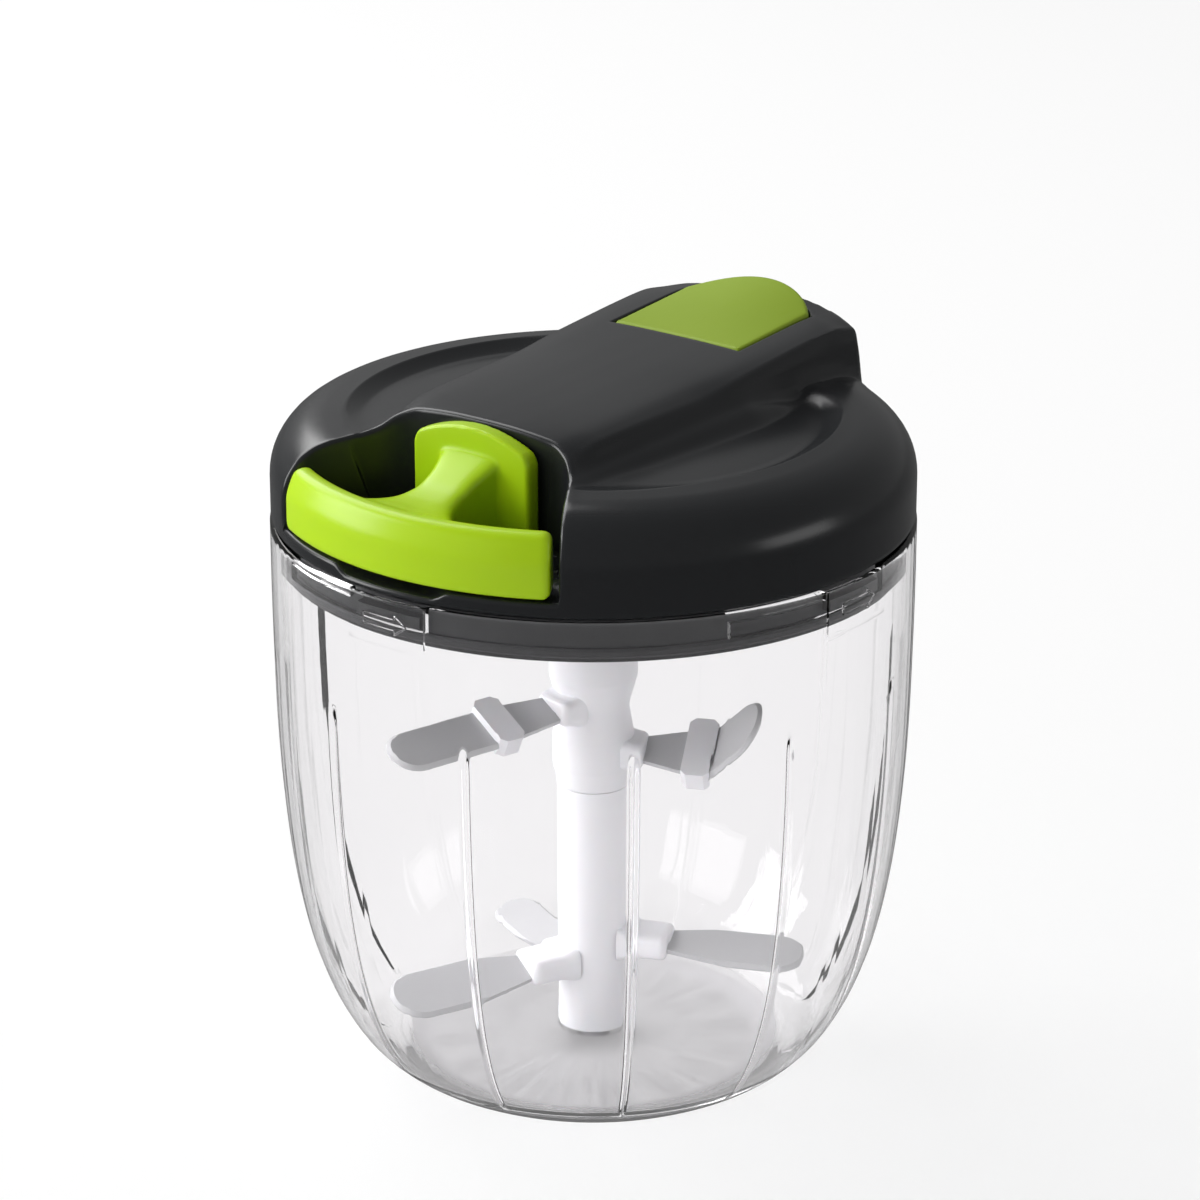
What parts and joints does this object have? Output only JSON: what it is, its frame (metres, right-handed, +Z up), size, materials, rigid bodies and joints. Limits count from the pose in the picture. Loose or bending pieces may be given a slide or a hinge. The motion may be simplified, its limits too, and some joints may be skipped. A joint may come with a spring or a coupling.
{
  "type": "pull-string food chopper",
  "caption": "Hand chopper with a clear bowl, a twist-on lid whose handle pulls a cord to spin a column of blades, a rewind spring and a vent button.",
  "frame": {"origin": "centre of the bowl's foot, on the surface it stands on", "axes": "+Z up along the bowl and blade axis, -Y the way the handle pulls, +X to the right of it"},
  "size_m": [0.13, 0.13, 0.1534],
  "materials": {
    "clear_bowl": "clear polished plastic",
    "lid_gloss": "gloss charcoal",
    "lid_matte": "fine matte charcoal",
    "lime_gloss": "gloss lime green",
    "lime_satin": "satin lime green",
    "white_plastic": "satin white",
    "blade_steel": "brushed, ground edge",
    "machined_steel": "turned",
    "spring_steel": "blued spring steel",
    "screw_steel": "zinc plated",
    "roller_steel": "ground and polished",
    "bush_brass": "turned brass",
    "eyelet_chrome": "polished",
    "seal_rubber": "translucent silicone",
    "cord_fibre": "braided cord"
  },
  "bodies": {
    "bowl": {"bowl": "clear_bowl", "spindle_pin": "machined_steel"},
    "seal": {"lid_seal": "seal_rubber"},
    "lid": {"lid_base": "lid_matte", "lid_cover": "lid_gloss", "lid_screws": "screw_steel", "cord_eyelet": "eyelet_chrome", "shaft_seal": "seal_rubber", "lower_bearing": "bush_brass", "upper_bearing": "bush_brass", "spring_housing": "lid_matte", "spring_cover": "lid_matte", "housing_screws": "screw_steel", "main_spring": "spring_steel", "vent_spring": "spring_steel", "cord_run": "cord_fibre"},
    "drive": {"drive_shaft": "machined_steel"},
    "reel": {"cord_reel": "white_plastic", "clutch_race": "lid_matte", "clutch_rollers": "roller_steel", "clutch_cap": "lid_matte", "cord_winding": "cord_fibre"},
    "handle": {"pull_handle": "lime_gloss", "cord_stop": "bush_brass"},
    "button": {"vent_button": "lime_satin", "stem_clip": "spring_steel", "vent_seal": "seal_rubber"},
    "blades": {"blade_hub": "white_plastic", "hub_sleeve": "white_plastic", "blade_collars": "white_plastic", "hub_bush": "bush_brass", "upper_blade_left": "blade_steel", "upper_blade_right": "blade_steel", "lower_blade_front": "blade_steel", "lower_blade_side": "blade_steel", "lower_blade_rear": "blade_steel"}
  },
  "joints": [
    {"name": "lid_lift", "type": "slide", "parent": "bowl", "child": "seal", "axis": [0, 0, 1], "range_m": [0, 0.12]},
    {"name": "lid_twist", "type": "hinge", "parent": "seal", "child": "lid", "pos_m": [0, 0, 0.115], "axis": [0, 0, -1], "range_deg": [0, 20]},
    {"name": "handle_pull", "type": "slide", "parent": "lid", "child": "handle", "axis": [0, -1, 0], "range_m": [0, 0.5], "stiffness_N_per_m": 12, "springref_m": -0.2, "deforming": ["cord_run"]},
    {"name": "reel_spin", "type": "hinge", "parent": "lid", "child": "reel", "pos_m": [0, 0, 0.1], "axis": [0, 0, -1], "range_deg": [0, 1330]},
    {"name": "drive_spin", "type": "hinge", "parent": "seal", "child": "drive", "pos_m": [0, 0, 0.1], "axis": [0, 0, -1], "range_deg": [0, 1330]},
    {"name": "blade_spin", "type": "hinge", "parent": "bowl", "child": "blades", "pos_m": [0, 0, 0.1], "axis": [0, 0, -1], "range_deg": [0, 1330]},
    {"name": "button_press", "type": "slide", "parent": "lid", "child": "button", "axis": [0, 0, -1], "range_m": [0, 0.0025], "stiffness_N_per_m": 400, "springref_m": -0.002, "deforming": ["vent_spring"]}
  ],
  "couplings": [
    {"joint": "reel_spin", "follows": "handle_pull", "rad_per_m": 46.3},
    {"joint": "drive_spin", "follows": "handle_pull", "rad_per_m": 46.3},
    {"joint": "blade_spin", "follows": "handle_pull", "rad_per_m": 46.3}
  ]
}
